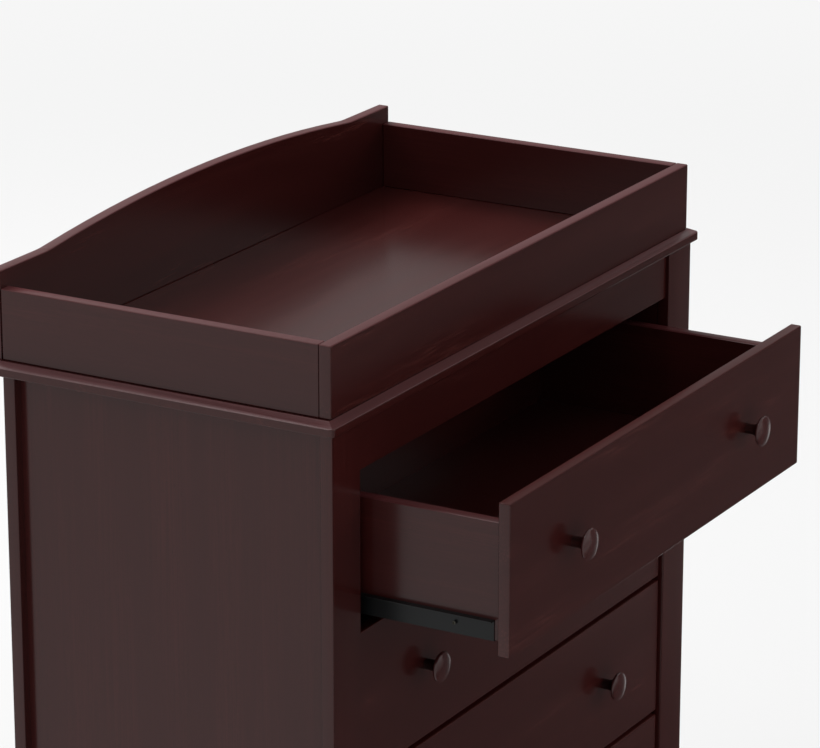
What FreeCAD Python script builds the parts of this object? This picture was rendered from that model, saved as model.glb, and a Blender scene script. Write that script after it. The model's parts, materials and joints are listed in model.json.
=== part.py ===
"""Changing dresser: a chest of drawers with a removable changing tray on its top.

Millimetres, +X to the right as seen from the front, +Y to the back, +Z up. The origin is on the
floor, under the middle of the whole, with the top drawer drawn out as it is stored.
"""
import FreeCAD, Part
import math
import os

Vector = FreeCAD.Vector

# ---- driving sizes -------------------------------------------------------------------------

# case
case_width = 859.0              # over the outer edges of the posts
case_depth = 424.0              # front post face to rear post face
post_width = 59.0
post_thickness = 15.5
side_panel_recess = 12.0        # outer side panel, in from the posts' outer edges
side_panel_thickness = 12.0
runner_panel_thickness = 12.0   # inner side panel, which carries the runners
back_panel_thickness = 5.0
rail_height = 59.0
rail_thickness = 14.0
rail_recess = 4.0               # rails and drawer fronts, behind the post faces
leg_clearance = 45.0            # floor to the underside of the bottom rails
pad_length = 40.0               # pads under the posts
pad_width = 11.0
pad_height = 3.0

# top board
top_thickness = 15.0
top_side_overhang = 9.5
top_front_overhang = 6.5
top_rear_overhang = 17.5
bevel_width = 10.5              # the sloping band round the front and both sides
bevel_drop = 5.5
top_corner_radius = 6.0

# changing tray
tray_wall = 15.0
tray_height = 82.0
tray_side_margin = 14.0         # tray face to the top board's side edge
tray_front_margin = 10.5        # tray face to the top board's front edge
back_end_height = 102.0         # tray's back panel at its two level ends
crest_rise = 19.5               # its crest above those ends
crest_half_span = 330.0         # where the long arc would meet the level ends
shoulder_radius = 150.0         # hollow that joins the arc to the level ends
bracket_width = 20.0
bracket_thickness = 2.0
bracket_reach = 42.0            # up the tray's back panel
bracket_drop = 12.0             # down the top board's rear edge
bracket_spread = 500.0          # between the two brackets

# drawers
drawer_count = 4
front_height = 175.0
front_thickness = 14.0
front_gap = 5.7                 # between fronts, and between fronts and rails
front_side_gap = 4.2            # between fronts and posts
box_wall = 14.0
box_rear_space = 45.5           # closed box to the case's back panel
box_top_drop = 25.5             # box sides, below the top of the front
box_bottom_rise = 15.0          # box sides, above the bottom of the front
floor_thickness = 5.0
floor_rise = 12.0               # drawer floor, above the bottom of the box sides
groove_depth = 6.0
groove_clearance = 0.2
top_drawer_out = 184.0          # how far the top drawer is drawn out as stored
knob_inset = 146.0              # knob axis, in from the front's end

# knobs, as distances from the drawer front and radii
knob_stem_radius = 6.2
knob_stem_length = 10.0
knob_rim_radius = 17.6
knob_rim_at = 17.2
knob_rim_width = 1.6
knob_length = 25.0
knob_dome_steps = 2

# roller runners
runner_space = 12.5             # between box side and runner panel
steel = 1.2
runner_setback = 3.0            # cabinet runner, behind the closed front's back
runner_rear_space = 32.5        # cabinet runner to the case's back panel
drawer_runner_setback = 8.0     # drawer runner, behind the front's back
drawer_runner_overrun = 8.0     # drawer runner, past the back of its box
drawer_runner_height = 24.0
drawer_foot_width = 12.0        # flange under the box side
track_width = 8.0               # flange that rides on the front roller
channel_open_edge = 2.5         # channel flanges, off the box side
channel_clearance = 0.3         # rollers to the steel that they run on
rear_roller_radius = 9.0
front_roller_radius = 10.0
roller_setback = 12.0           # roller axes, in from their runner's end
roller_near_side = 2.9          # roller faces, off the box side
roller_far_side = 10.3
axle_radius = 3.0
axle_clearance = 0.15
channel_notch = 28.0            # the channel's top is open this far, round its front roller

# eased edges
edge_ease = 1.2
rail_edge_ease = 0.7
box_edge_ease = 1.5             # drawer box, along its top edges

# ---- places worked out from the sizes ------------------------------------------------------

top_depth = top_front_overhang + case_depth + top_rear_overhang
top_width = case_width + 2 * top_side_overhang
tray_width = top_width - 2 * tray_side_margin
tray_depth = top_depth - tray_front_margin
opening_width = case_width - 2 * post_width
front_width = opening_width - 2 * front_side_gap
box_width = opening_width - 2 * runner_space
box_height = front_height - box_top_drop - box_bottom_rise

# Heights.
rail_low = leg_clearance
opening_low = rail_low + rail_height
opening_high = opening_low + drawer_count * front_height + (drawer_count + 1) * front_gap
case_top = opening_high + rail_height
top_surface = case_top + top_thickness

# Depths. The whole runs from the top drawer's knobs to the brackets behind the tray.
reach_in_front = knob_length + top_drawer_out
reach_behind = top_depth - top_front_overhang - rail_recess + bracket_thickness
face_y = (reach_in_front - reach_behind) / 2
post_front = face_y - rail_recess
post_back = post_front + post_thickness
case_back = post_front + case_depth
rear_post_front = case_back - post_thickness
back_panel_front = rear_post_front - back_panel_thickness
top_front = post_front - top_front_overhang
top_back = top_front + top_depth
tray_front_y = top_front + tray_front_margin
front_back = face_y + front_thickness
box_length = back_panel_front - box_rear_space - front_back
cabinet_runner_length = back_panel_front - runner_rear_space - (front_back + runner_setback)
drawer_runner_length = box_length + drawer_runner_overrun - drawer_runner_setback

# Widths, on the right-hand side.
case_edge = case_width / 2
post_inner = case_edge - post_width
side_panel_outer = case_edge - side_panel_recess
side_panel_inner = side_panel_outer - side_panel_thickness
tray_edge = tray_width / 2
box_outer = box_width / 2
box_inner = box_outer - box_wall
floor_groove = groove_depth - groove_clearance


# ---- helpers -------------------------------------------------------------------------------

def block(x0, x1, y0, y1, z0, z1):
    return Part.makeBox(x1 - x0, y1 - y0, z1 - z0, Vector(x0, y0, z0))


def board(x0, x1, y0, y1, z0, z1, ease=edge_ease):
    """A board with all its edges eased."""
    plain = block(x0, x1, y0, y1, z0, z1)
    return plain.makeChamfer(ease, plain.Edges)


def extruded(points, direction):
    """A solid from a closed outline of points, swept straight along direction."""
    outline = Part.makePolygon(list(points) + [points[0]])
    return Part.Face(outline).extrude(direction)


def mirrored(shape):
    """The same piece for the other side of the dresser."""
    return shape.mirror(Vector(0, 0, 0), Vector(1, 0, 0))


def both_sides(shape):
    return Part.makeCompound([mirrored(shape), shape])


def save(name, shape):
    shape.exportStep("parts/" + name + ".step")


def save_left_and_right(name, right_shape):
    save("left_" + name, mirrored(right_shape))
    save("right_" + name, right_shape)


# ---- case ----------------------------------------------------------------------------------

def post(y0):
    return board(post_inner, case_edge, y0, y0 + post_thickness, pad_height, case_top)


def side_panel():
    return block(side_panel_inner, side_panel_outer, post_back, rear_post_front,
                 rail_low, case_top)


def runner_panel():
    return block(post_inner, post_inner + runner_panel_thickness, post_back, back_panel_front,
                 rail_low, case_top)


def rail(y0, z0):
    return board(-post_inner, post_inner, y0, y0 + rail_thickness, z0, z0 + rail_height,
                 rail_edge_ease)


def back_panel():
    return block(-side_panel_inner, side_panel_inner, back_panel_front, rear_post_front,
                 rail_low, case_top)


def foot_pads():
    """Four felt pads, one under each post."""
    middle_x = case_edge - post_width / 2
    pads = []
    for middle_y in (post_front + post_thickness / 2, case_back - post_thickness / 2):
        pad = block(middle_x - pad_length / 2, middle_x + pad_length / 2,
                    middle_y - pad_width / 2, middle_y + pad_width / 2, 0, pad_height)
        pads += [mirrored(pad), pad]
    return Part.makeCompound(pads)


def top_board():
    """A board with rounded front corners and a bevel that is mitred round them."""
    half = top_width / 2
    slab = block(-half, half, top_front, top_back, case_top, top_surface)
    front_corners = []
    for edge in slab.Edges:
        box = edge.BoundBox
        if box.YMax < top_front + 1 and box.ZLength > top_thickness / 2:
            front_corners.append(edge)
    slab = slab.makeFillet(top_corner_radius, front_corners)
    rise = 2 * bevel_drop
    run = 2 * bevel_width
    # Each wedge is twice the bevel's size, so that it passes well clear of the board's edge.
    side_wedge = extruded([Vector(half - bevel_width, top_front - run, top_surface),
                           Vector(half - bevel_width + run, top_front - run,
                                  top_surface - rise),
                           Vector(half - bevel_width + run, top_front - run, top_surface)],
                          Vector(0, top_depth + 2 * run, 0))
    front_wedge = extruded([Vector(-half - run, top_front + bevel_width, top_surface),
                            Vector(-half - run, top_front + bevel_width - run, top_surface),
                            Vector(-half - run, top_front + bevel_width - run,
                                   top_surface - rise)],
                           Vector(top_width + 2 * run, 0, 0))
    return slab.cut(side_wedge).cut(mirrored(side_wedge)).cut(front_wedge)


# ---- changing tray -------------------------------------------------------------------------

def tray_front():
    return board(-tray_edge, tray_edge, tray_front_y, tray_front_y + tray_wall,
                 top_surface, top_surface + tray_height)


def tray_side():
    return board(tray_edge - tray_wall, tray_edge, tray_front_y + tray_wall,
                 top_back - tray_wall, top_surface, top_surface + tray_height)


def tray_back():
    """The camelback panel: level ends, a hollow shoulder each side and one long arc between."""
    end_z = top_surface + back_end_height
    crest_z = end_z + crest_rise
    crest_radius = (crest_half_span ** 2 + crest_rise ** 2) / (2 * crest_rise)
    crest_centre_z = crest_z - crest_radius
    # The shoulder's circle touches the level end from above and the crest's circle from outside.
    centre_distance = crest_radius + shoulder_radius
    shoulder_x = math.sqrt(centre_distance ** 2 - (centre_distance - crest_rise) ** 2)
    share = crest_radius / centre_distance
    touch = Vector(shoulder_x * share, 0,
                   crest_centre_z + (end_z + shoulder_radius - crest_centre_z) * share)
    turn = math.asin(shoulder_x / centre_distance)
    shoulder_mid = Vector(shoulder_x - shoulder_radius * math.sin(turn / 2), 0,
                          end_z + shoulder_radius * (1 - math.cos(turn / 2)))

    def at(x, z):
        return Vector(x, top_back - tray_wall, z)

    def line(x0, z0, x1, z1):
        return Part.LineSegment(at(x0, z0), at(x1, z1)).toShape()

    def arc(*points):
        return Part.Arc(*[at(x, z) for x, z in points]).toShape()

    outline = Part.Wire([
        line(-tray_edge, top_surface, tray_edge, top_surface),
        line(tray_edge, top_surface, tray_edge, end_z),
        line(tray_edge, end_z, shoulder_x, end_z),
        arc((shoulder_x, end_z), (shoulder_mid.x, shoulder_mid.z), (touch.x, touch.z)),
        arc((touch.x, touch.z), (0, crest_z), (-touch.x, touch.z)),
        arc((-touch.x, touch.z), (-shoulder_mid.x, shoulder_mid.z), (-shoulder_x, end_z)),
        line(-shoulder_x, end_z, -tray_edge, end_z),
        line(-tray_edge, end_z, -tray_edge, top_surface),
    ])
    panel = Part.Face(outline).extrude(Vector(0, tray_wall, 0))
    rims = [edge for edge in panel.Edges if edge.BoundBox.YLength < tray_wall / 2]
    return panel.makeChamfer(edge_ease, rims)


def tray_brackets():
    """Two flat steel plates that hold the tray's back panel to the top board's rear edge."""
    middle = bracket_spread / 2
    plate = block(middle - bracket_width / 2, middle + bracket_width / 2,
                  top_back, top_back + bracket_thickness,
                  top_surface - bracket_drop, top_surface + bracket_reach)
    corners = [edge for edge in plate.Edges if edge.BoundBox.YLength > bracket_thickness / 2
               and edge.BoundBox.ZLength < 1]
    return both_sides(plate.makeChamfer(bracket_width / 4, corners))


# ---- drawers -------------------------------------------------------------------------------

def drawer_low(number):
    """Height of the underside of a drawer front; drawer 1 is the top one."""
    return opening_high - number * (front_gap + front_height)


def drawer_shift(number):
    """How far a drawer stands forward of its closed place, as stored."""
    return top_drawer_out if number == 1 else 0.0


def floor_slot(low):
    """The groove all round the box that holds the drawer floor, as a solid to cut away."""
    floor_low = low + box_bottom_rise + floor_rise
    return block(-box_inner - groove_depth, box_inner + groove_depth,
                 front_back - groove_depth, front_back + box_length - box_wall + groove_depth,
                 floor_low - groove_clearance, floor_low + floor_thickness + groove_clearance)


def drawer_front(low):
    panel = board(-front_width / 2, front_width / 2, face_y, front_back,
                  low, low + front_height)
    return panel.cut(floor_slot(low))


def drawer_side(low):
    box_low = low + box_bottom_rise
    wall = block(box_inner, box_outer, front_back, front_back + box_length,
                 box_low, box_low + box_height)
    top_edges = [edge for edge in wall.Edges if edge.BoundBox.ZMin > box_low + box_height - 1
                 and edge.BoundBox.YLength > box_wall]
    return wall.makeChamfer(box_edge_ease, top_edges).cut(floor_slot(low))


def drawer_back(low):
    box_low = low + box_bottom_rise
    wall = block(-box_inner, box_inner, front_back + box_length - box_wall,
                 front_back + box_length, box_low, box_low + box_height)
    top_edges = [edge for edge in wall.Edges if edge.BoundBox.ZMin > box_low + box_height - 1
                 and edge.BoundBox.XLength > box_wall]
    return wall.makeChamfer(box_edge_ease, top_edges).cut(floor_slot(low))


def drawer_floor(low):
    floor_low = low + box_bottom_rise + floor_rise
    return block(-box_inner - floor_groove, box_inner + floor_groove,
                 front_back - floor_groove,
                 front_back + box_length - box_wall + floor_groove,
                 floor_low, floor_low + floor_thickness)


def knob(low):
    """A turned mushroom knob: a round stem that flares to a thin-rimmed, domed head."""
    rim_front = knob_rim_at + knob_rim_width
    dome_rise = knob_length - rim_front
    dome_radius = (knob_rim_radius ** 2 + dome_rise ** 2) / (2 * dome_rise)
    dome_turn = math.asin(knob_rim_radius / dome_radius)
    profile = [(0, 0), (knob_stem_radius, 0), (knob_stem_radius, knob_stem_length),
               (knob_rim_radius, knob_rim_at)]
    for step in range(knob_dome_steps + 1):
        turn = dome_turn * (1 - step / knob_dome_steps)
        profile.append((dome_radius * math.sin(turn),
                        knob_length - dome_radius * (1 - math.cos(turn))))
    points = [Vector(radius, -out, 0) for radius, out in profile]
    outline = Part.makePolygon(points + [points[0]])
    turned = Part.Face(outline).revolve(Vector(0, 0, 0), Vector(0, 1, 0), 360)
    turned.translate(Vector(front_width / 2 - knob_inset, face_y, low + front_height / 2))
    return turned


# ---- roller runners ------------------------------------------------------------------------
# A runner's section is drawn from the box side's outer face, at the bottom of the box side:
# "off" is the distance out towards the runner panel, "up" is the height.

rear_axis_up = rear_roller_radius
channel_low = rear_axis_up - rear_roller_radius - channel_clearance
channel_high = rear_axis_up + rear_roller_radius + channel_clearance
track_up = drawer_runner_height - 2 * steel
front_axis_up = track_up - channel_clearance - front_roller_radius
rear_axis_y = front_back + drawer_runner_setback + drawer_runner_length - roller_setback
front_axis_y = front_back + runner_setback + roller_setback
drawer_runner_low = -steel


def section(points, low, y0, length):
    """A right-hand runner from its section's (off, up) points."""
    base = low + box_bottom_rise
    outline = [Vector(box_outer + off, y0, base + up) for off, up in points]
    return extruded(outline, Vector(0, length, 0))


def rod(radius, off0, off1, axis_y, axis_up, low):
    """A round bar across the runner, from one distance off the box side to another."""
    return Part.makeCylinder(radius, off1 - off0,
                             Vector(box_outer + off0, axis_y, low + box_bottom_rise + axis_up),
                             Vector(1, 0, 0))


def drawer_runner(low):
    """Folded steel: a foot under the box side, a web up it and a track that rolls."""
    high = track_up + steel
    folded = section([(-drawer_foot_width, drawer_runner_low), (steel, drawer_runner_low),
                      (steel, track_up), (track_width, track_up), (track_width, high),
                      (0, high), (0, 0), (-drawer_foot_width, 0)],
                     low, front_back + drawer_runner_setback, drawer_runner_length)
    axle = rod(axle_radius, steel, roller_far_side, rear_axis_y, rear_axis_up, low)
    return folded.fuse(axle)


def cabinet_runner(low):
    """A folded steel channel, open on top round its front roller and closed at the rear."""
    web_off = runner_space - steel
    length = cabinet_runner_length
    start = front_back + runner_setback
    lowest = channel_low - steel
    highest = channel_high + steel
    edge = channel_open_edge
    channel = section([(runner_space, lowest), (edge, lowest), (edge, channel_low),
                       (web_off, channel_low), (web_off, channel_high), (edge, channel_high),
                       (edge, highest), (runner_space, highest)], low, start, length)
    notch = section([(0, channel_high), (web_off, channel_high), (web_off, highest + steel),
                     (0, highest + steel)], low, start - steel, channel_notch + steel)
    stop = section([(edge, lowest), (runner_space, lowest), (runner_space, highest),
                    (edge, highest)], low, start + length - steel, steel)
    axle = rod(axle_radius, roller_near_side, web_off, front_axis_y, front_axis_up, low)
    return channel.cut(notch).fuse(stop).fuse(axle).removeSplitter()


def roller(radius, axis_y, axis_up, low):
    """A moulded roller that turns on a runner's axle."""
    wheel = rod(radius, roller_near_side, roller_far_side, axis_y, axis_up, low)
    bore = rod(axle_radius + axle_clearance, 0, runner_space, axis_y, axis_up, low)
    return wheel.cut(bore)


# ---- the pieces ----------------------------------------------------------------------------

def save_drawer(number):
    low = drawer_low(number)
    forward = Vector(0, -drawer_shift(number), 0)

    def save_moved(name, shape):
        shape.translate(forward)
        save("drawer_%d_%s" % (number, name), shape)

    save_moved("front", drawer_front(low))
    save_moved("left_side", mirrored(drawer_side(low)))
    save_moved("right_side", drawer_side(low))
    save_moved("back", drawer_back(low))
    save_moved("floor", drawer_floor(low))
    save_moved("knobs", both_sides(knob(low)))
    save_moved("runners", both_sides(drawer_runner(low)))
    save_moved("rear_rollers", both_sides(roller(rear_roller_radius, rear_axis_y,
                                                 rear_axis_up, low)))
    save("cabinet_runners_%d" % number, both_sides(cabinet_runner(low)))
    save("front_rollers_%d" % number, both_sides(roller(front_roller_radius, front_axis_y,
                                                        front_axis_up, low)))


def main():
    os.makedirs("parts", exist_ok=True)
    save_left_and_right("front_post", post(post_front))
    save_left_and_right("rear_post", post(rear_post_front))
    save_left_and_right("side_panel", side_panel())
    save_left_and_right("runner_panel", runner_panel())
    save("top_front_rail", rail(face_y, opening_high))
    save("bottom_front_rail", rail(face_y, rail_low))
    save("top_rear_rail", rail(case_back - rail_thickness, opening_high))
    save("bottom_rear_rail", rail(case_back - rail_thickness, rail_low))
    save("back_panel", back_panel())
    save("foot_pads", foot_pads())
    save("top_board", top_board())
    save("tray_front", tray_front())
    save_left_and_right("tray_side", tray_side())
    save("tray_back", tray_back())
    save("tray_brackets", tray_brackets())
    for number in range(1, drawer_count + 1):
        save_drawer(number)


main()
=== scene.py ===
"""Changing dresser: finishes, turned knobs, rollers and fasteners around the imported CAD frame."""

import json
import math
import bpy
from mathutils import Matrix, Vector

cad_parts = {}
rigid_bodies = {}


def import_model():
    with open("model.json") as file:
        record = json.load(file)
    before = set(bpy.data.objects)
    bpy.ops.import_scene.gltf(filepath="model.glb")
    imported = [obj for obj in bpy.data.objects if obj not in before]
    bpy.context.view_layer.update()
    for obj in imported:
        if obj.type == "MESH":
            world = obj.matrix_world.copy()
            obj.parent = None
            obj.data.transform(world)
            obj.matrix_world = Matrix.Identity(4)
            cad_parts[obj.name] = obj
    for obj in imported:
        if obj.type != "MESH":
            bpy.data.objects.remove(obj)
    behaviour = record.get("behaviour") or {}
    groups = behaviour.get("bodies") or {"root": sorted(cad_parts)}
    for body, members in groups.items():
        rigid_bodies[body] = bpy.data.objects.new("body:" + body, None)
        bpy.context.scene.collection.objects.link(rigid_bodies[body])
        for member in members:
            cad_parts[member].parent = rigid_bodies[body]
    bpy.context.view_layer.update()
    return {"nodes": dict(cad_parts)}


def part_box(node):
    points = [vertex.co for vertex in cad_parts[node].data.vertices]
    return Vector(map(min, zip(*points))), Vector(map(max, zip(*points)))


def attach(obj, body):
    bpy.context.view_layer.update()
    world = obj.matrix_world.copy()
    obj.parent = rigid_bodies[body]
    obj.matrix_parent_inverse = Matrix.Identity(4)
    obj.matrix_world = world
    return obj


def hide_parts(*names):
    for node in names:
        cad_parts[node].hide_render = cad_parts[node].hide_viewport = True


bl_info = {
    "name": "Changing Dresser",
    "version": (1, 0, 0),
    "blender": (4, 5, 0),
    "location": "View3D > Sidebar > Dresser",
    "description": "Finishes a changing dresser: stained boards, turned knobs, rollers and screws",
    "category": "Object",
}

import bpy
from mathutils import Matrix, Vector

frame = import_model()

MM = 0.001
MERGE_WITHIN = 0.01 * MM
DRAWERS = (1, 2, 3, 4)
SIDES = (("left", -1), ("right", 1))

# Which way the grain runs on each board: along the piece's length.
GRAIN_ACROSS_FRONT = [
    "bottom_front_rail", "bottom_rear_rail", "top_board", "top_front_rail", "top_rear_rail",
    "tray_back", "tray_front",
] + ["drawer_%d_%s" % (n, part) for n in DRAWERS for part in ("front", "back")]
GRAIN_FRONT_TO_BACK = ["left_tray_side", "right_tray_side"] + [
    "drawer_%d_%s_side" % (n, side) for n in DRAWERS for side, _ in SIDES]
GRAIN_UPRIGHT = ["%s_%s" % (side, part) for side, _ in SIDES
                 for part in ("front_post", "rear_post", "side_panel", "runner_panel")]
DRAWER_FRONTS = ["drawer_%d_front" % n for n in DRAWERS]
THIN_PANELS = ["back_panel"] + ["drawer_%d_floor" % n for n in DRAWERS]
RUNNERS = ["cabinet_runners_%d" % n for n in DRAWERS] + ["drawer_%d_runners" % n for n in DRAWERS]


# ---- sizes and colours that a user would change ---------------------------------------------

def length_property(name, millimetres, description):
    return bpy.props.FloatProperty(name=name, description=description, default=millimetres * MM,
                                   unit="LENGTH", precision=5)


def share_property(name, share, description):
    return bpy.props.FloatProperty(name=name, description=description, default=share,
                                   min=0.0, max=1.0, subtype="FACTOR")


def colour_property(name, hex_value, description):
    return bpy.props.StringProperty(name=name, description=description + " (sRGB hex)",
                                    default=hex_value)


def power_property(name, watts, description):
    return bpy.props.FloatProperty(name=name, description=description, default=watts,
                                   unit="POWER")


class DresserWood(bpy.types.PropertyGroup):
    """Colours and grain of the stained boards and panels."""

    stain: colour_property("Stain", "#331211", "Dark cherry stain on the boards")
    stain_light: colour_property("Stain, light fibres", "#3F1816", "Fibres that took less stain")
    pore: colour_property("Pores", "#1A0808", "Stain that collected in the pores")
    open_grain: colour_property("Open grain", "#5E302B", "Raised lines where the grain is open")
    # The edge stain is partly wear and partly a painted highlight: only faces that look up get it.
    edge_stain: colour_property("Edge stain", "#4B2224", "Lighter stain on the rubbed edges")
    # The drawer edge stain is partly wear and partly a weaker painted highlight on the drawer
    # fronts' upward faces.
    drawer_edge_stain: colour_property("Drawer edge stain", "#3A1413",
                                       "Stain on the edges of the drawer fronts")
    # The side bevel stain is a painted sheen: a pale colour that stands for a reflection.
    side_bevel_painted_sheen: colour_property("Side bevel stain", "#654143",
                                 "Lightest stain, on the top board's side bevels")
    knob_stain: colour_property("Knob stain", "#3A1A1A", "The same stain on the turned knobs")
    # The stem stain is painted shade: near black, for the shade under the knob's head.
    stem_painted_shade: colour_property("Stem stain", "#0F0404", "Darker stain of the knobs' stems")
    roughness: share_property("Roughness", 0.19, "Roughness of the satin lacquer")
    top_arris: length_property("Top board arris", 1.3, "Rounding of the top board's edges")
    figure_width: length_property("Figure width", 38.0, "Broad bands across the grain")
    figure_length: length_property("Figure length", 620.0, "Broad bands along the grain")
    fibre_width: length_property("Fibre width", 2.0, "Spacing of the fibres across the grain")
    fibre_length: length_property("Fibre length", 160.0, "Length of a fibre along the grain")
    pore_width: length_property("Pore width", 0.8, "Width of a pore")
    pore_length: length_property("Pore length", 9.0, "Length of a pore along the grain")
    patch_width: length_property("Patch width", 52.0, "Patch of open grain, across the grain")
    patch_length: length_property("Patch length", 380.0, "Patch of open grain, along the grain")
    line_width: length_property("Line width", 2.0, "Spacing of the raised lines in a patch")
    line_length: length_property("Line length", 42.0, "Length of a raised line")


class DresserHardware(bpy.types.PropertyGroup):
    """Colours and sizes of knobs, rollers, runners and screws."""

    runner_paint: colour_property("Runner paint", "#0E1011", "Slate powder coat of the runners")
    bracket_paint: colour_property("Bracket paint", "#1B1B1C", "Black finish of the brackets")
    screw_steel: colour_property("Screws", "#45433D", "Dull zinc-plated steel of the screws")
    dark_screw: colour_property("Dark screws", "#2A2826", "Blackened steel of the bracket screws")
    nylon: colour_property("Rollers", "#C9C6BC", "Moulded nylon of the rollers")
    felt: colour_property("Felt", "#3A302B", "Felt of the foot pads")
    knob_radius: length_property("Knob radius", 18.2, "Radius of the knob's head")
    knob_rim_rounding: length_property("Knob edge rounding", 2.4, "Rounding of the head's edge")
    roller_width: length_property("Roller width", 7.4, "Width of a roller's tyre and hub")
    roller_bore: length_property("Roller bore", 3.15, "Radius of the hole for the axle")
    screw_radius: length_property("Screw head radius", 3.6, "Radius of a pan head")
    screw_height: length_property("Screw head height", 1.9, "Height of a pan head")


class DresserStudio(bpy.types.PropertyGroup):
    """The camera, the floor and the lamps."""

    floor: colour_property("Floor", "#F7F7F7", "Pale floor and background")
    world_level: share_property("World level", 0.53, "How brightly the surroundings shine")
    left_power: power_property("Left lamp", 11.0, "Soft lamp on the left")
    front_power: power_property("Front lamp", 46.0, "Large soft lamp in front, on the right")
    back_power: power_property("Back lamp", 210.0,
                               "Large soft lamp behind, on the right and above")
    top_power: power_property("Top lamp", 26.0, "Large soft lamp overhead")
    rim_power: power_property("Rim lamp", 13.0,
                              "Soft lamp above on the left, which lights the knobs' rims")
    camera_place: bpy.props.FloatVectorProperty(
        name="Camera place", description="Where the photograph was taken from, from a fit of its "
        "key points", default=(-3.9311, -2.2235, 2.2843), subtype="TRANSLATION")
    camera_turn: bpy.props.FloatProperty(
        name="Camera turn", description="Camera direction, from straight ahead towards the right",
        default=math.radians(60.152), subtype="ANGLE")
    camera_tilt: bpy.props.FloatProperty(
        name="Camera tilt", description="How far the camera looks down",
        default=math.radians(17.963), subtype="ANGLE")
    camera_lens: bpy.props.FloatProperty(
        name="Camera lens", description="Focal length on a 36 mm wide sensor", default=179.5)


# ---- materials ------------------------------------------------------------------------------

# The sockets of a Mix node that mixes colours: its two colours and its result.
MIX_FIRST, MIX_SECOND, MIX_RESULT = 6, 7, 2

# Each grain pattern runs from 0 to 1. A feature starts to show at the first of its two values
# here, and shows in full from the second.
FIGURE_RANGE = (0.42, 0.62)
FIBRE_RANGE = (0.35, 0.75)
PORE_RANGE = (0.62, 0.74)
PATCH_RANGE = (0.54, 0.67)
LINE_RANGE = (0.5, 0.66)

# How far the fibres show where the figure is faint and where it is strong.
LEAST_SHOWN, MOST_SHOWN = 0.15, 0.8
PORE_DARKNESS = 0.5
STREAK_ROUGHENING = 0.06
RAISED_LINE_HEIGHT = 3.0
GRAIN_RELIEF = 0.02 * MM


def linear(hex_value):
    """An sRGB hex colour as the linear colour that a shader takes."""
    channels = []
    for at in (1, 3, 5):
        share = int(hex_value[at:at + 2], 16) / 255.0
        channels.append(share / 12.92 if share <= 0.04045 else ((share + 0.055) / 1.055) ** 2.4)
    return (*channels, 1.0)


def dimmed(colour, share):
    """A linear colour at a share of its brightness."""
    return tuple(share * channel for channel in colour[:3]) + (1.0,)


def add(tree, kind, inputs=None, **settings):
    """Adds a node; each input is a value or another node's output socket."""
    node = tree.nodes.new(kind)
    for name, value in settings.items():
        setattr(node, name, value)
    for name, value in (inputs or {}).items():
        if isinstance(value, bpy.types.NodeSocket):
            tree.links.new(value, node.inputs[name])
        else:
            node.inputs[name].default_value = value
    return node


def empty_material(name):
    """A node material with no nodes in it yet, and its tree."""
    material = bpy.data.materials.new(name)
    material.use_nodes = True
    material.node_tree.nodes.clear()
    return material, material.node_tree


def shaded_material(name):
    """A node material with a Principled shader and its output."""
    material, tree = empty_material(name)
    shader = add(tree, "ShaderNodeBsdfPrincipled")
    add(tree, "ShaderNodeOutputMaterial", {"Surface": shader.outputs["BSDF"]})
    return material, tree, shader


def along_grain(axis, long_size, cross_size):
    """Pattern scale, in repeats a metre, that is drawn out along the grain."""
    scale = [1.0 / cross_size] * 3
    scale["XYZ".index(axis)] = 1.0 / long_size
    return scale


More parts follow.
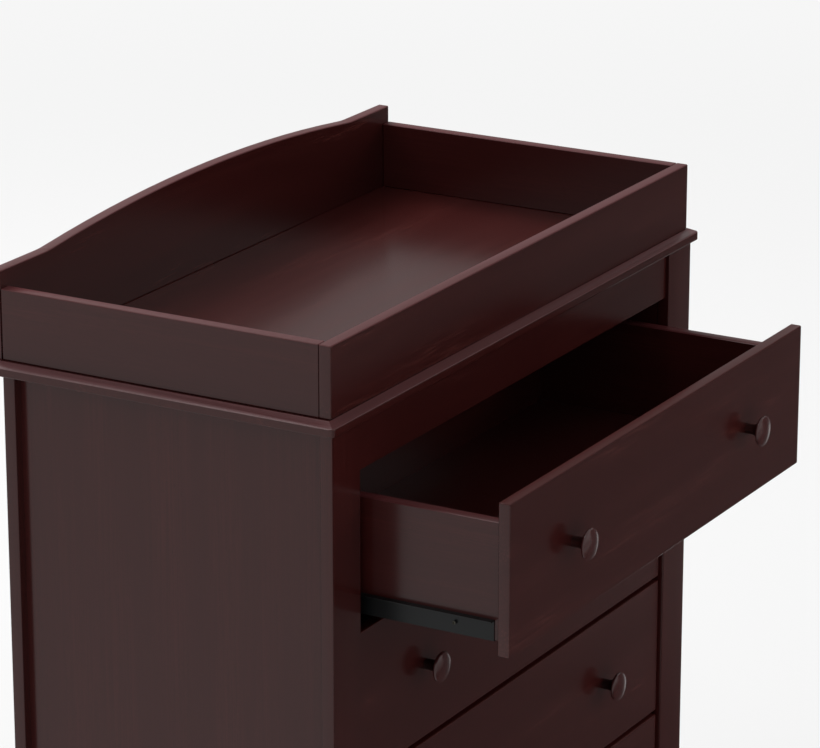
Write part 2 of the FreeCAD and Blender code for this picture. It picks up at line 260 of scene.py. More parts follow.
def stained_cherry(name, axis, stain_hex, roughness, specular=0.33, openness=0.05):
    """Solid cherry, sanded, dark-stained and satin lacquered: the stain evens the wood out, so the
    eye gets fine streaks along the grain, darker pores and a soft sheen. Openness is how far the
    patches of open grain show. Real fibres and pores are finer than a pixel, so they are drawn
    as coarse as they need to be to show."""
    wood = bpy.context.scene.dresser_wood
    material, tree, shader = shaded_material(name)
    place = add(tree, "ShaderNodeTexCoord").outputs["Object"]

    def pattern(long_size, cross_size, detail, harshness):
        stretched = add(tree, "ShaderNodeMapping", {
            "Vector": place, "Scale": along_grain(axis, long_size, cross_size)})
        return add(tree, "ShaderNodeTexNoise", {
            "Vector": stretched.outputs["Vector"], "Scale": 1.0, "Detail": detail,
            "Roughness": harshness}).outputs["Fac"]

    figure = pattern(wood.figure_length, wood.figure_width, 2.0, 0.5)
    fibre = pattern(wood.fibre_length, wood.fibre_width, 3.0, 0.6)
    pores = pattern(wood.pore_length, wood.pore_width, 1.0, 0.5)
    patches = pattern(wood.patch_length, wood.patch_width, 1.0, 0.5)
    lines = pattern(wood.line_length, wood.line_width, 2.0, 0.6)

    # The fibres show in some stretches of a board and are filled by the stain in others.
    shows = add(tree, "ShaderNodeMapRange", {
        "Value": figure, "From Min": FIGURE_RANGE[0], "From Max": FIGURE_RANGE[1],
        "To Min": LEAST_SHOWN, "To Max": MOST_SHOWN})
    lightness = add(tree, "ShaderNodeMapRange", {
        "Value": fibre, "From Min": FIBRE_RANGE[0], "From Max": FIBRE_RANGE[1]})
    streaks = add(tree, "ShaderNodeMath", {
        0: lightness.outputs["Result"], 1: shows.outputs["Result"]}, operation="MULTIPLY")
    colour = add(tree, "ShaderNodeMix", {
        "Factor": streaks.outputs["Value"], MIX_FIRST: linear(stain_hex),
        MIX_SECOND: linear(wood.stain_light)}, data_type="RGBA")
    pore_mask = add(tree, "ShaderNodeMapRange", {
        "Value": pores, "From Min": PORE_RANGE[0], "From Max": PORE_RANGE[1],
        "To Max": PORE_DARKNESS})
    pore_share = add(tree, "ShaderNodeMath", {
        0: pore_mask.outputs["Result"], 1: shows.outputs["Result"]}, operation="MULTIPLY")
    colour = add(tree, "ShaderNodeMix", {
        "Factor": pore_share.outputs["Value"], MIX_FIRST: colour.outputs[MIX_RESULT],
        MIX_SECOND: linear(wood.pore)}, data_type="RGBA")

    # Here and there the grain is open, and its fine lines stand up through the lacquer.
    is_open = add(tree, "ShaderNodeMapRange", {
        "Value": patches, "From Min": PATCH_RANGE[0], "From Max": PATCH_RANGE[1]})
    stands_up = add(tree, "ShaderNodeMapRange", {
        "Value": lines, "From Min": LINE_RANGE[0], "From Max": LINE_RANGE[1]})
    raised = add(tree, "ShaderNodeMath", {
        0: is_open.outputs["Result"], 1: stands_up.outputs["Result"]}, operation="MULTIPLY")
    raised = add(tree, "ShaderNodeMath", {
        0: raised.outputs["Value"], 1: openness}, operation="MULTIPLY")
    colour = add(tree, "ShaderNodeMix", {
        "Factor": raised.outputs["Value"], MIX_FIRST: colour.outputs[MIX_RESULT],
        MIX_SECOND: linear(wood.open_grain)}, data_type="RGBA")

    # Streaks are a little rougher than the stained wood between them, pores lie deeper, and the
    # raised lines stand highest.
    sheen = add(tree, "ShaderNodeMapRange", {
        "Value": streaks.outputs["Value"], "To Min": roughness,
        "To Max": roughness + STREAK_ROUGHENING})
    height = add(tree, "ShaderNodeMath", {
        0: streaks.outputs["Value"], 1: pore_share.outputs["Value"]}, operation="SUBTRACT")
    height = add(tree, "ShaderNodeMath", {
        0: raised.outputs["Value"], 1: RAISED_LINE_HEIGHT, 2: height.outputs["Value"]},
        operation="MULTIPLY_ADD")
    bump = add(tree, "ShaderNodeBump", {
        "Height": height.outputs["Value"], "Strength": 0.2, "Distance": GRAIN_RELIEF})
    tree.links.new(colour.outputs[MIX_RESULT], shader.inputs["Base Color"])
    tree.links.new(sheen.outputs["Result"], shader.inputs["Roughness"])
    tree.links.new(bump.outputs["Normal"], shader.inputs["Normal"])
    shader.inputs["IOR"].default_value = 1.5
    shader.inputs["Specular IOR Level"].default_value = specular
    return material


def coated(name, hex_value, roughness, grain_size, relief, metallic=0.0, specular=0.4):
    """A fine-grained even finish, such as powder coat, plated steel, nylon or felt: its grain
    changes the gloss and the relief. The grain is finer than a pixel, so the colour drifts in
    clouds that are coarse enough to show."""
    cloud_size = 40.0 * grain_size
    clouding = 0.78
    gloss_change = 0.05
    material, tree, shader = shaded_material(name)
    place = add(tree, "ShaderNodeTexCoord").outputs["Object"]
    grain = add(tree, "ShaderNodeTexNoise", {
        "Vector": place, "Scale": 1.0 / grain_size, "Detail": 3.0}).outputs["Fac"]
    cloud = add(tree, "ShaderNodeTexNoise", {
        "Vector": place, "Scale": 1.0 / cloud_size, "Detail": 2.0}).outputs["Fac"]
    full = linear(hex_value)
    colour = add(tree, "ShaderNodeMix", {
        "Factor": cloud, MIX_FIRST: dimmed(full, clouding), MIX_SECOND: full}, data_type="RGBA")
    sheen = add(tree, "ShaderNodeMapRange", {
        "Value": grain, "To Min": roughness - gloss_change, "To Max": roughness + gloss_change})
    bump = add(tree, "ShaderNodeBump", {"Height": grain, "Strength": 0.5, "Distance": relief})
    tree.links.new(colour.outputs[MIX_RESULT], shader.inputs["Base Color"])
    tree.links.new(sheen.outputs["Result"], shader.inputs["Roughness"])
    tree.links.new(bump.outputs["Normal"], shader.inputs["Normal"])
    shader.inputs["Metallic"].default_value = metallic
    shader.inputs["Specular IOR Level"].default_value = specular
    return material


def finish(obj, material):
    """Puts one material on a piece, over whatever it had."""
    obj.data.materials.clear()
    obj.data.materials.append(material)
    for face in obj.data.polygons:
        face.material_index = 0


# ---- modelling helpers ----------------------------------------------------------------------

def select_only(*pieces):
    """Selects these pieces and nothing else, with the first one active."""
    bpy.ops.object.select_all(action="DESELECT")
    for piece in pieces:
        piece.select_set(True)
    if pieces:
        bpy.context.view_layer.objects.active = pieces[0]


def start_piece(name):
    """Adds one vertex at the origin, in edit mode, to extrude from."""
    select_only()
    bpy.ops.mesh.primitive_plane_add(size=MM, location=(0, 0, 0))
    bpy.context.object.name = name
    bpy.ops.object.mode_set(mode="EDIT")
    bpy.ops.mesh.select_all(action="SELECT")
    bpy.ops.mesh.merge(type="CENTER")
    bpy.ops.mesh.select_mode(type="VERT")
    bpy.ops.mesh.select_all(action="SELECT")
    return bpy.context.object


def turned(name, profile, steps, closed=False):
    """A piece turned about the Y axis, from (radius, out) points; out is towards the front."""
    piece = start_piece(name)
    points = [Vector((radius, -out, 0)) for radius, out in profile]
    bpy.ops.transform.translate(value=points[0])
    for before, after in zip(points, points[1:]):
        bpy.ops.mesh.extrude_region_move(TRANSFORM_OT_translate={"value": after - before})
    if closed:
        bpy.ops.mesh.extrude_region_move(
            TRANSFORM_OT_translate={"value": points[0] - points[-1]})
    bpy.ops.mesh.select_all(action="SELECT")
    bpy.ops.mesh.spin(steps=steps, angle=2 * math.pi, center=(0, 0, 0), axis=(0, 1, 0))
    bpy.ops.mesh.select_all(action="SELECT")
    bpy.ops.mesh.remove_doubles(threshold=MERGE_WITHIN)
    bpy.ops.mesh.normals_make_consistent(inside=False)
    bpy.ops.object.mode_set(mode="OBJECT")
    bpy.ops.object.shade_smooth_by_angle(angle=math.radians(38))
    return piece


def copies(name, master, places):
    """One object of the master's mesh, copied to each place and joined; the master stays."""
    made = []
    for at, place in enumerate(places):
        copy = master.copy()
        copy.data = master.data.copy()
        copy.name = name if at == 0 else "%s_copy_%d" % (name, at)
        copy.data.transform(place)
        bpy.context.scene.collection.objects.link(copy)
        made.append(copy)
    select_only(*made)
    if len(made) > 1:
        bpy.ops.object.join()
    made[0].data.name = name
    return made[0]


def discard(piece):
    """Removes a master once its copies are made."""
    bpy.data.objects.remove(piece, do_unlink=True)


# ---- boards ---------------------------------------------------------------------------------

class FinishBoards(bpy.types.Operator):
    """Sand the arrises of every board, then stain and lacquer it with the grain along its length"""

    bl_idname = "dresser.finish_boards"
    bl_label = "Finish boards"

    # A rubbed edge is this much rougher than a face.
    EDGE_ROUGHENING = 0.12
    # Least upward share of the normal of a face with the lighter edge stain, partly wear and partly
    # painted highlight, and of the top board's flat top's.
    UPWARD, FLAT_TOP = 0.5, 0.97
    # Least sideways share of a side bevel's normal.
    SIDEWAYS = 0.3

    def sanded(self, node, arris=0.0):
        """A merged copy of the board, shaded so that its eased arrises look rolled over."""
        board = frame["nodes"][node]
        copy = board.copy()
        copy.data = board.data.copy()
        copy.name = copy.data.name = node + "_sanded"
        bpy.context.scene.collection.objects.link(copy)
        select_only(copy)
        bpy.ops.object.mode_set(mode="EDIT")
        bpy.ops.mesh.select_all(action="SELECT")
        bpy.ops.mesh.remove_doubles(threshold=MERGE_WITHIN)
        bpy.ops.mesh.dissolve_limited(angle_limit=math.radians(0.5))
        bpy.ops.object.mode_set(mode="OBJECT")
        if arris:
            rounding = copy.modifiers.new("arris", "BEVEL")
            rounding.limit_method = "ANGLE"
            rounding.angle_limit = math.radians(40)
            rounding.width = arris
            rounding.segments = 4
            bpy.ops.object.modifier_apply(modifier=rounding.name)
        # A rounded arris has small turns, and the bevel above it stays crisp.
        bpy.ops.object.shade_smooth_by_angle(angle=math.radians(24 if arris else 50))
        normals = copy.modifiers.new("flat_faces", "WEIGHTED_NORMAL")
        normals.keep_sharp = True
        bpy.ops.object.modifier_apply(modifier=normals.name)
        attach(copy, board.parent.name.split(":")[1])
        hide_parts(node)
        return copy

    def rub_and_highlight_edges(self, board, material, keep_top):
        """Gives the lighter edge material to the upward edges and bevels, and to a flat top unless
        it is kept. The material is partly wear and partly a painted highlight, which only faces
        that look up get."""
        board.data.materials.append(material)
        for face in board.data.polygons:
            up = face.normal.z
            if self.UPWARD < up and (up < self.FLAT_TOP or not keep_top):
                face.material_index = 1

    def rub_side_bevels(self, board, material):
        """Gives the painted sheen to those upward, partly highlit faces that lean to a side."""
        board.data.materials.append(material)
        for face in board.data.polygons:
            if face.material_index == 1 and abs(face.normal.x) > self.SIDEWAYS:
                face.material_index = 2

    def execute(self, context):
        wood = context.scene.dresser_wood
        edge_roughness = wood.roughness + self.EDGE_ROUGHENING
        # The drawer fronts' upward faces get a darker version of the edge stain: partly wear and
        # partly a weaker painted highlight.
        drawer_edge = stained_cherry("sanded_cherry_drawer_edge", "X", wood.drawer_edge_stain,
                                     edge_roughness, specular=0.15)
        # The top board's side bevels get the lightest stain, a painted sheen: pale, as a reflection
        # of the bright surroundings would make them.
        side_bevel = stained_cherry("rubbed_cherry_side_bevel", "Y", wood.side_bevel_painted_sheen,
                                    edge_roughness, specular=0.45)
        groups = (("X", GRAIN_ACROSS_FRONT), ("Y", GRAIN_FRONT_TO_BACK), ("Z", GRAIN_UPRIGHT))
        for axis, boards in groups:
            # The boards across the front show the open grain most.
            openness = 0.3 if axis == "X" else 0.05
            material = stained_cherry("stained_cherry_%s" % axis.lower(), axis, wood.stain,
                                      wood.roughness, openness=openness)
            # Edges and bevels that face up get a lighter and redder stain, partly wear from hands
            # and cloths and partly a painted highlight. They are less glossy than the faces, so
            # that each board is outlined by a soft pink line.
            edge = stained_cherry("rubbed_cherry_edge_%s" % axis.lower(), axis, wood.edge_stain,
                                  edge_roughness, specular=0.2)
            for node in boards:
                is_top_board = node == "top_board"
                board = self.sanded(node, wood.top_arris if is_top_board else 0.0)
                finish(board, material)
                self.rub_and_highlight_edges(board, drawer_edge if node in DRAWER_FRONTS else edge,
                               keep_top=is_top_board)
                if is_top_board:
                    self.rub_side_bevels(board, side_bevel)
        # Hardboard with the same stain and a thinner lacquer: even, and duller than the boards.
        thin = stained_cherry("stained_hardboard", "X", wood.stain, wood.roughness + 0.1)
        for node in THIN_PANELS:
            finish(self.sanded(node), thin)
        return {"FINISHED"}


# ---- knobs ----------------------------------------------------------------------------------

class TurnKnobs(bpy.types.Operator):
    """Turn the mushroom knobs and set two on each drawer"""

    bl_idname = "dresser.turn_knobs"
    bl_label = "Turn knobs"

    STEPS = 56
    DOME_RINGS = 7
    RIM_RINGS = 6
    STEM_RADIUS = 6.2 * MM
    # The stem's flare: how far past its radius, and how far out, in millimetres.
    FLARE = ((0.0, 6.0), (0.2, 9.0), (1.2, 11.6), (3.6, 14.2), (7.2, 16.4))
    HEAD_BACK = 17.6 * MM
    # The rim is rolled from facing the drawer to nearly facing away from it, in degrees.
    RIM_START, RIM_TURN = -90, 165
    # Faces nearer to the drawer than this, the stem and the back of the head, get the painted
    # shade.
    SHADED_UNDERSIDE_OUT = 17.9 * MM

    def profile(self, length, radius, rounding):
        """(radius, out) from the back of the stem, under the head and over its rolled edge, to
        the middle of the shallow dome."""
        points = [(0.0, 0.0), (self.STEM_RADIUS, 0.0)]
        points += [(self.STEM_RADIUS + past * MM, out * MM) for past, out in self.FLARE]
        points.append((radius - rounding, self.HEAD_BACK))
        edge_out = self.HEAD_BACK + rounding
        for ring in range(1, self.RIM_RINGS + 1):
            turn = math.radians(self.RIM_START + self.RIM_TURN * ring / self.RIM_RINGS)
            points.append((radius - rounding + rounding * math.cos(turn),
                           edge_out + rounding * math.sin(turn)))
        dome_radius, dome_out = points[-1]
        rise = length - dome_out
        for ring in range(1, self.DOME_RINGS + 1):
            share = 1.0 - ring / self.DOME_RINGS
            points.append((dome_radius * share, dome_out + rise * (1.0 - share ** 2)))
        return points

    def execute(self, context):
        wood = context.scene.dresser_wood
        hardware = context.scene.dresser_hardware
        low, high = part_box("drawer_1_knobs")
        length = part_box("drawer_1_front")[0].y - low.y
        rim_radius = (high.z - low.z) / 2
        outline = self.profile(length, hardware.knob_radius, hardware.knob_rim_rounding)
        master = turned("knob_master", outline, self.STEPS)
        # Turned and polished cherry: the dome reflects more than a sanded board.
        finish(master, stained_cherry("turned_cherry", "Y", wood.knob_stain,
                                      wood.roughness + 0.02, specular=0.42))
        # The stem and the back of the head get a nearly black painted shade, for the shade under
        # the head, and a rougher, duller lacquer, so that they look almost black and matt.
        master.data.materials.append(
            stained_cherry("turned_cherry_end_grain", "Y", wood.stem_painted_shade,
                           wood.roughness + 0.25, specular=0.12))
        for face in master.data.polygons:
            if face.center.y > -self.SHADED_UNDERSIDE_OUT:
                face.material_index = 1
        for number in DRAWERS:
            node = "drawer_%d_knobs" % number
            low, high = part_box(node)
            front_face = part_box("drawer_%d_front" % number)[0].y
            middle = (low.z + high.z) / 2
            places = [Matrix.Translation((side * (high.x - rim_radius), front_face, middle))
                      for _, side in SIDES]
            knobs = copies("drawer_%d_turned_knobs" % number, master, places)
            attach(knobs, "drawer_%d" % number)
            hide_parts(node)
        discard(master)
        return {"FINISHED"}


# ---- rollers and runners --------------------------------------------------------------------

class MouldRollers(bpy.types.Operator):
    """Mould the nylon rollers with a tyre, a dished web and a hub, and set them on their axles"""

    bl_idname = "dresser.mould_rollers"
    bl_label = "Mould rollers"

    STEPS = 40
    ROUNDED_EDGE = 0.6 * MM
    DISH_DEPTH = 0.8 * MM
    DISH_SLOPE = 0.4 * MM
    HUB_WALL = 1.6 * MM
    TYRE_WALL = 2.2 * MM

    def profile(self, radius, bore, width):
        """(radius, out) round the roller's section: one side's half, and the same for the
        other."""
        hub = bore + self.HUB_WALL
        tyre = radius - self.TYRE_WALL
        web_side = width - self.DISH_DEPTH
        half = [(bore, width), (hub, width), (hub + self.DISH_SLOPE, web_side),
                (tyre - self.DISH_SLOPE, web_side), (tyre, width),
                (radius - self.ROUNDED_EDGE, width), (radius, width - self.ROUNDED_EDGE)]
        return half + [(r, width - out) for r, out in reversed(half)]

    def execute(self, context):
        hardware = context.scene.dresser_hardware
        width = hardware.roller_width
        # Moulded nylon: off-white, waxy and a little dull, with no grain to see.
        nylon = coated("moulded_nylon", hardware.nylon, roughness=0.42, grain_size=0.8 * MM,
                       relief=0.02 * MM)
        quarter_turn = Matrix.Rotation(math.radians(90), 4, "Z")
        for number in DRAWERS:
            for node, body in (("front_rollers_%d" % number, "front_rollers_%d" % number),
                               ("drawer_%d_rear_rollers" % number, "rear_rollers_%d" % number)):
                low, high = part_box(node)
                radius = (high.z - low.z) / 2
                middle = (low + high) / 2
                outline = self.profile(radius, hardware.roller_bore, width)
                master = turned("roller_master", outline, self.STEPS, closed=True)
                finish(master, nylon)
                # The master lies from y = 0 to -width, and turned it lies from x = 0 to +width.
                places = [Matrix.Translation((x, middle.y, middle.z)) @ quarter_turn
                          for x in (high.x - width, low.x)]
                rollers = copies(node + "_moulded", master, places)
                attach(rollers, body)
                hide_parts(node)
                discard(master)
        return {"FINISHED"}


class FinishRunners(bpy.types.Operator):
    """Powder coat the runners, blacken the tray's brackets and lay the felt pads"""

    bl_idname = "dresser.finish_runners"
    bl_label = "Finish runners"

    def execute(self, context):
        hardware = context.scene.dresser_hardware
        # Pressed steel in a slate powder coat: an even, dark and cool satin with a fine pebble.
        slate = coated("powder_coated_steel", hardware.runner_paint, roughness=0.3,
                       grain_size=0.5 * MM, relief=0.01 * MM, specular=0.24)
        # Blackened mild steel strip: nearly black and dull.
        black = coated("blackened_steel", hardware.bracket_paint, roughness=0.45,
                       grain_size=0.5 * MM, relief=0.02 * MM)
        # Pressed felt: brown and quite matt, with a soft nap.
        felt = coated("pressed_felt", hardware.felt, roughness=0.9, grain_size=0.6 * MM,
                      relief=0.3 * MM, specular=0.1)
        for node in RUNNERS:
            finish(frame["nodes"][node], slate)
        finish(frame["nodes"]["tray_brackets"], black)
        finish(frame["nodes"]["foot_pads"], felt)
        return {"FINISHED"}


# ---- screws ---------------------------------------------------------------------------------

class DriveScrews(bpy.types.Operator):
    """Drive the knob screws, the runner screws and the bracket screws"""

    bl_idname = "dresser.drive_screws"
    bl_label = "Drive screws"

    STEPS = 20
    # The head's outline, as shares of its radius and height.
    HEAD = ((0.0, 0.0), (1.0, 0.0), (1.0, 0.35), (0.93, 0.62), (0.75, 0.85), (0.4, 1.0),
            (0.0, 1.0))
    # One arm of the cross: length and width as shares of the radius, depth of the height.
    CROSS_LENGTH, CROSS_WIDTH, CROSS_DEPTH = 1.15, 0.24, 1.1

    # Sizes against the master's head, and how proud the flattened bracket screws stand.
    KNOB_SCREW, RUNNER_SCREW, BRACKET_SCREW = 1.3, 0.62, 0.9
    BRACKET_SCREW_PROUD = 0.35

    # Runner screws: the web they seat on, in from the runner's outer edge, their height up it
    # and their places along it.
    WEB_INSET = 6.8 * MM
    HOLE_HEIGHT = 13.0 * MM
    HOLE_SHARES = (0.14, 0.5, 0.8)

    # Bracket screws: in from the bracket's outer edge, down from its top and up from its foot.
    BRACKET_INSET = 10.0 * MM
    BRACKET_DROPS = (8.0 * MM, 24.0 * MM)
    BRACKET_RISE = 6.0 * MM

    def cut_cross(self, head, radius, height):
        """Cuts a cross recess into the top of a head."""
        for angle in (0, 90):
            select_only()
            bpy.ops.mesh.primitive_cube_add(size=1.0, location=(0, -height, 0))
            slot = bpy.context.object
            bpy.ops.object.mode_set(mode="EDIT")
            bpy.ops.mesh.select_all(action="SELECT")
            bpy.ops.transform.resize(value=(radius * self.CROSS_LENGTH, height * self.CROSS_DEPTH,
                                            radius * self.CROSS_WIDTH))
            bpy.ops.object.mode_set(mode="OBJECT")
            slot.data.transform(Matrix.Rotation(math.radians(angle), 4, "Y"))
            cut = head.modifiers.new("cross", "BOOLEAN")
            cut.operation = "DIFFERENCE"
            cut.object = slot
            cut.solver = "EXACT"
            select_only(head)
            bpy.ops.object.modifier_apply(modifier=cut.name)
            discard(slot)

    def pan_head(self, radius, height):
        """A domed head with a cross recess, its seat at y = 0 and its top towards the front."""
        outline = [(radius * across, height * out) for across, out in self.HEAD]
        head = turned("screw_master", outline, self.STEPS)
        self.cut_cross(head, radius, height)
        return head

    def execute(self, context):
        hardware = context.scene.dresser_hardware
        # Zinc-plated steel, dulled: a grey metal that shows as a faint spot on the runner.
        plated = coated("zinc_plated_steel", hardware.screw_steel, roughness=0.5,
                        grain_size=0.4 * MM, relief=0.01 * MM, metallic=1.0, specular=0.5)
        # Blackened steel: the screws of the brackets are as dark as the strip they hold.
        dark = coated("blackened_screw", hardware.dark_screw, roughness=0.4,
                      grain_size=0.4 * MM, relief=0.01 * MM)
        master = self.pan_head(hardware.screw_radius, hardware.screw_height)
        backwards = Matrix.Rotation(math.pi, 4, "Z")
        left = Matrix.Rotation(math.radians(-90), 4, "Z")
        right = Matrix.Rotation(math.radians(90), 4, "Z")

        def drive(name, places, body, material, scale, proud=1.0):
            sized = Matrix.Diagonal((scale, scale * proud, scale, 1.0))
            screws = copies(name, master, [place @ sized for place in places])
            finish(screws, material)
            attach(screws, body)

        for number in DRAWERS:
            drawer = "drawer_%d" % number
            low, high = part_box(drawer + "_knobs")
            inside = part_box(drawer + "_front")[1].y
            axis = high.x - (high.z - low.z) / 2
            middle = (low.z + high.z) / 2
            places = [Matrix.Translation((side * axis, inside, middle)) @ backwards
                      for _, side in SIDES]
            drive(drawer + "_knob_screws", places, drawer, plated,
                  self.KNOB_SCREW)
            low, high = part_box(drawer + "_runners")
            web = high.x - self.WEB_INSET
            height = low.z + self.HOLE_HEIGHT
            places = []
            for share in self.HOLE_SHARES:
                y = low.y + share * (high.y - low.y)
                places.append(Matrix.Translation((web, y, height)) @ right)
                places.append(Matrix.Translation((-web, y, height)) @ left)
            drive(drawer + "_runner_screws", places, drawer, plated,
                  self.RUNNER_SCREW)
        low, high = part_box("tray_brackets")
        heights = [high.z - drop for drop in self.BRACKET_DROPS] + [low.z + self.BRACKET_RISE]
        places = [Matrix.Translation((side * (high.x - self.BRACKET_INSET), high.y, z)) @ backwards
                  for _, side in SIDES for z in heights]
        drive("bracket_screws", places, "case", dark, self.BRACKET_SCREW,
              self.BRACKET_SCREW_PROUD)
        discard(master)
        return {"FINISHED"}


# ---- stage ----------------------------------------------------------------------------------

def seen_share(tree):
    """1 for rays that show the background, in the camera or in gloss and glass, and 0 for the
    rays that light the object."""
    path = add(tree, "ShaderNodeLightPath")
    seen = add(tree, "ShaderNodeMath", {
        0: path.outputs["Is Camera Ray"], 1: path.outputs["Is Glossy Ray"]},
        operation="MAXIMUM")
    seen = add(tree, "ShaderNodeMath", {
        0: seen.outputs["Value"], 1: path.outputs["Is Transmission Ray"]}, operation="MAXIMUM")
    return seen.outputs["Value"]


class SetStage(bpy.types.Operator):
    """Lay the pale floor, hang the lamps and cards, and place the camera"""

    bl_idname = "dresser.set_stage"
    bl_label = "Set stage"

    FLOOR_HALF = 30.0
    # The floor is least plain within the first of these distances from its middle, and wholly
    # plain past the second.
    PLAIN_FROM, PLAIN_TO = 1.2, 6.5
    PLAIN_NEAR, PLAIN_FAR = 0.78, 1.0
    # Brings the lit part of the floor down to the plain part's level.
    LIT_LEVEL = 0.64
    SENSOR_WIDTH = 36.0

    # Name, size, place and whether gloss shows the lamp. All lamps point at the target.
    LAMPS = (
        ("left", 0.7, (-3.1, 1.9, 3.1), True),
        ("front", 2.4, (3.2, -3.2, 1.8), False),
        ("back", 2.0, (1.8, 2.8, 3.4), False),
        ("top", 1.3, (0.15, 1.6, 4.2), True),
        ("rim", 0.6, (-1.7, 0.1, 4.1), True),
    )
    LAMP_TARGET = (0.0, 0.1, 0.6)

    # Cards that only the gloss sees: name, brightness, share of its half size over which it
    # fades into the pale background, middle, width, height, turn and tilt.
    CARDS = (
        ("dark_card_right_above", 0.08, 0.0, (2.9, -0.2, 2.9), 1.8, 1.4, 90.0, 90.0),
        ("grey_card_right", 0.2, 0.0, (2.9, 0.0, 0.6), 1.6, 1.2, 90.0, 90.0),
        ("grey_card_on_front_floor", 0.35, 0.5, (0.6, -3.6, 0.01), 7.0, 4.0, 0.0, 0.0),
        ("grey_card_on_right_floor", 0.35, 0.4, (2.7, 0.7, 0.01), 3.0, 2.5, 0.0, 0.0),
        ("dark_card_front_right", 0.08, 0.0, (3.0, -1.7, 0.85), 2.6, 1.7, 60.0, 90.0),
        ("dark_card_on_floor", 0.08, 0.2, (1.464, -1.165, 0.02), 4.2, 1.72, -20.0, 0.0),
        ("grey_card_back_right", 0.38, 0.0, (2.4, 2.0, 1.2), 4.4, 2.4, 60.0, 90.0),
    )

    def pale_world(self, studio):
        """Rays that light the object get the world's level, and the rest see the background."""
        world = bpy.data.worlds.new("pale_studio")
        bpy.context.scene.world = world
        world.use_nodes = True
        tree = world.node_tree
        tree.nodes.clear()
        light = add(tree, "ShaderNodeBackground", {
            "Color": (1.0, 1.0, 1.0, 1.0), "Strength": studio.world_level})
        pale = add(tree, "ShaderNodeBackground", {
            "Color": linear(studio.floor), "Strength": 1.0})
        mixed = add(tree, "ShaderNodeMixShader", {
            0: seen_share(tree), 1: light.outputs[0], 2: pale.outputs[0]})
        add(tree, "ShaderNodeOutputWorld", {"Surface": mixed.outputs[0]})

    def pale_floor(self, studio):
        """Painted board, matt and even: most of what is seen is the plain pale colour, and the
        rest keeps the shadow. Far out it is all plain, so that it meets the background without
        a line."""
        material, tree = empty_material("pale_floor")
        seen = seen_share(tree)
        pale = linear(studio.floor)
        place = add(tree, "ShaderNodeTexCoord").outputs["Object"]
        distance = add(tree, "ShaderNodeVectorMath", {0: place}, operation="LENGTH")
        plainness = add(tree, "ShaderNodeMapRange", {
            "Value": distance.outputs["Value"], "From Min": self.PLAIN_FROM,
            "From Max": self.PLAIN_TO, "To Min": self.PLAIN_NEAR, "To Max": self.PLAIN_FAR},
            interpolation_type="SMOOTHSTEP")
        share = add(tree, "ShaderNodeMath", {
            0: seen, 1: plainness.outputs["Result"]}, operation="MULTIPLY")
        tone = add(tree, "ShaderNodeMix", {
            "Factor": seen, MIX_FIRST: pale, MIX_SECOND: dimmed(pale, self.LIT_LEVEL)},
            data_type="RGBA")
        lit = add(tree, "ShaderNodeBsdfDiffuse", {"Color": tone.outputs[MIX_RESULT]})
        plain = add(tree, "ShaderNodeEmission", {"Color": pale, "Strength": 1.0})
        mixed = add(tree, "ShaderNodeMixShader", {
            0: share.outputs["Value"], 1: lit.outputs[0], 2: plain.outputs[0]})
        add(tree, "ShaderNodeOutputMaterial", {"Surface": mixed.outputs[0]})
        select_only()
        bpy.ops.mesh.primitive_plane_add(size=2 * self.FLOOR_HALF, location=(0, 0, 0))
        floor = bpy.context.object
        floor.name = "studio_floor"
        finish(floor, material)

    def faded(self, tree, grey, pale, fade):
        """The card's grey in its middle, turning pale towards its edges."""
        place = add(tree, "ShaderNodeTexCoord").outputs["UV"]
        from_middle = add(tree, "ShaderNodeVectorMath", {0: place, 1: (0.5, 0.5, 0.0)},
                          operation="SUBTRACT")
        either_side = add(tree, "ShaderNodeVectorMath", {0: from_middle.outputs["Vector"]},
                          operation="ABSOLUTE")
        parts = add(tree, "ShaderNodeSeparateXYZ", {0: either_side.outputs["Vector"]})
        farthest = add(tree, "ShaderNodeMath", {
            0: parts.outputs["X"], 1: parts.outputs["Y"]}, operation="MAXIMUM")
        towards_edge = add(tree, "ShaderNodeMapRange", {
            "Value": farthest.outputs["Value"], "From Min": 0.5 * (1.0 - fade), "From Max": 0.5},
            interpolation_type="SMOOTHSTEP")
        return add(tree, "ShaderNodeMix", {
            "Factor": towards_edge.outputs["Result"], MIX_FIRST: grey, MIX_SECOND: pale},
            data_type="RGBA").outputs[MIX_RESULT]

    def card(self, pale, name, level, fade, middle, width, height, turn, tilt):
        """A studio card that shades the gloss, and that nothing else sees."""
        select_only()
        bpy.ops.mesh.primitive_plane_add(size=1.0, location=(0, 0, 0))
        card = bpy.context.object
        card.name = name
        card.data.transform(
            Matrix.Translation(middle) @ Matrix.Rotation(math.radians(turn), 4, "Z")
            @ Matrix.Rotation(math.radians(tilt), 4, "X") @ Matrix.Diagonal((width, height, 1, 1)))
        material, tree = empty_material(name)
        colour = (level, level, level, 1.0)
        if fade:
            colour = self.faded(tree, colour, pale, fade)
        shine = add(tree, "ShaderNodeEmission", {"Color": colour})
        add(tree, "ShaderNodeOutputMaterial", {"Surface": shine.outputs[0]})
        finish(card, material)
        card.visible_camera = False
        card.visible_diffuse = False
        card.visible_transmission = False
        card.visible_shadow = False

    def lamp(self, name, power, size, place, mirrored):
        """A square soft lamp that points at the target."""
        data = bpy.data.lights.new(name, "AREA")
        data.energy = power
        data.shape = "SQUARE"
        data.size = size
        lamp = bpy.data.objects.new(name, data)
        lamp.location = place
        towards = Vector(self.LAMP_TARGET) - Vector(place)
        lamp.rotation_euler = towards.to_track_quat("-Z", "Y").to_euler()
        lamp.visible_glossy = mirrored
        bpy.context.scene.collection.objects.link(lamp)

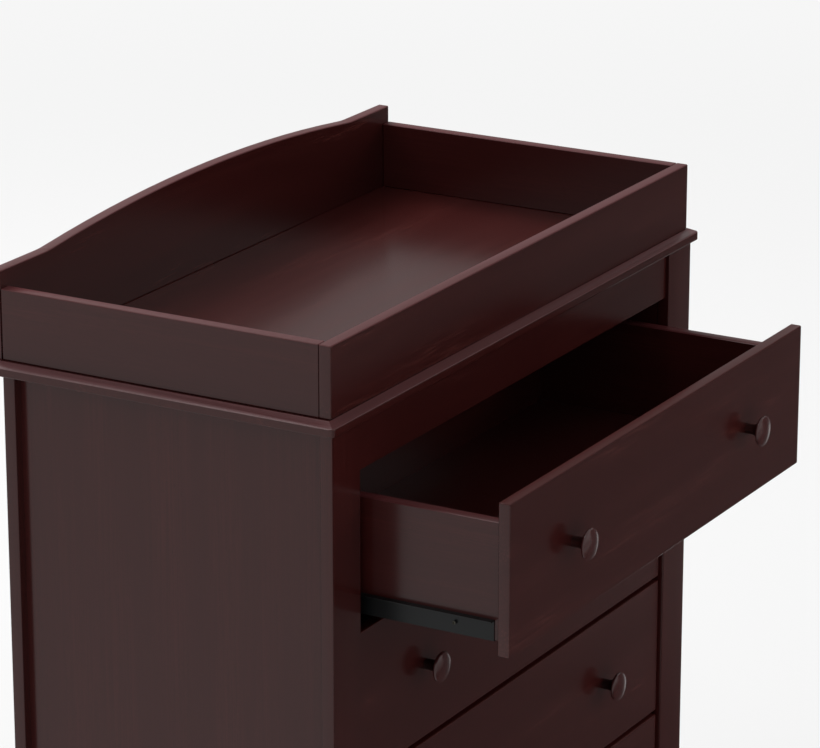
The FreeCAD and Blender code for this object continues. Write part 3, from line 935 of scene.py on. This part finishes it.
    def camera(self, studio):
        """The photograph's camera, with no shift and no roll."""
        lens = bpy.data.cameras.new("camera")
        lens.lens = studio.camera_lens
        lens.sensor_width = self.SENSOR_WIDTH
        camera = bpy.data.objects.new("camera", lens)
        camera.location = studio.camera_place
        camera.rotation_euler = (math.pi / 2 - studio.camera_tilt, 0.0, -studio.camera_turn)
        bpy.context.scene.collection.objects.link(camera)
        bpy.context.scene.camera = camera

    def execute(self, context):
        studio = context.scene.dresser_studio
        self.pale_world(studio)
        self.pale_floor(studio)
        for settings in self.CARDS:
            self.card(linear(studio.floor), *settings)
        for name, size, place, mirrored in self.LAMPS:
            self.lamp(name + "_lamp", getattr(studio, name + "_power"), size, place, mirrored)
        self.camera(studio)
        context.scene.view_settings.view_transform = "Standard"
        return {"FINISHED"}


# ---- panel and registration -----------------------------------------------------------------

OPERATORS = (FinishBoards, TurnKnobs, MouldRollers, FinishRunners, DriveScrews, SetStage)
SETTINGS = (("dresser_wood", DresserWood), ("dresser_hardware", DresserHardware),
            ("dresser_studio", DresserStudio))


class DresserPanel(bpy.types.Panel):
    """Lists the dresser's sizes and colours, and a button for each step"""

    bl_idname = "VIEW3D_PT_dresser"
    bl_label = "Changing Dresser"
    bl_space_type = "VIEW_3D"
    bl_region_type = "UI"
    bl_category = "Dresser"

    def draw(self, context):
        for name, group in SETTINGS:
            column = self.layout.column(align=True)
            for setting in group.__annotations__:
                column.prop(getattr(context.scene, name), setting)
        for operator in OPERATORS:
            self.layout.operator(operator.bl_idname)


def register():
    for name, group in SETTINGS:
        bpy.utils.register_class(group)
        setattr(bpy.types.Scene, name, bpy.props.PointerProperty(type=group))
    for operator in OPERATORS:
        bpy.utils.register_class(operator)
    bpy.utils.register_class(DresserPanel)


def unregister():
    bpy.utils.unregister_class(DresserPanel)
    for operator in reversed(OPERATORS):
        bpy.utils.unregister_class(operator)
    for name, group in reversed(SETTINGS):
        delattr(bpy.types.Scene, name)
        bpy.utils.unregister_class(group)


def main():
    register()
    bpy.ops.dresser.finish_boards()
    bpy.ops.dresser.turn_knobs()
    bpy.ops.dresser.mould_rollers()
    bpy.ops.dresser.finish_runners()
    bpy.ops.dresser.drive_screws()
    bpy.ops.dresser.set_stage()


if __name__ == "__main__":
    main()
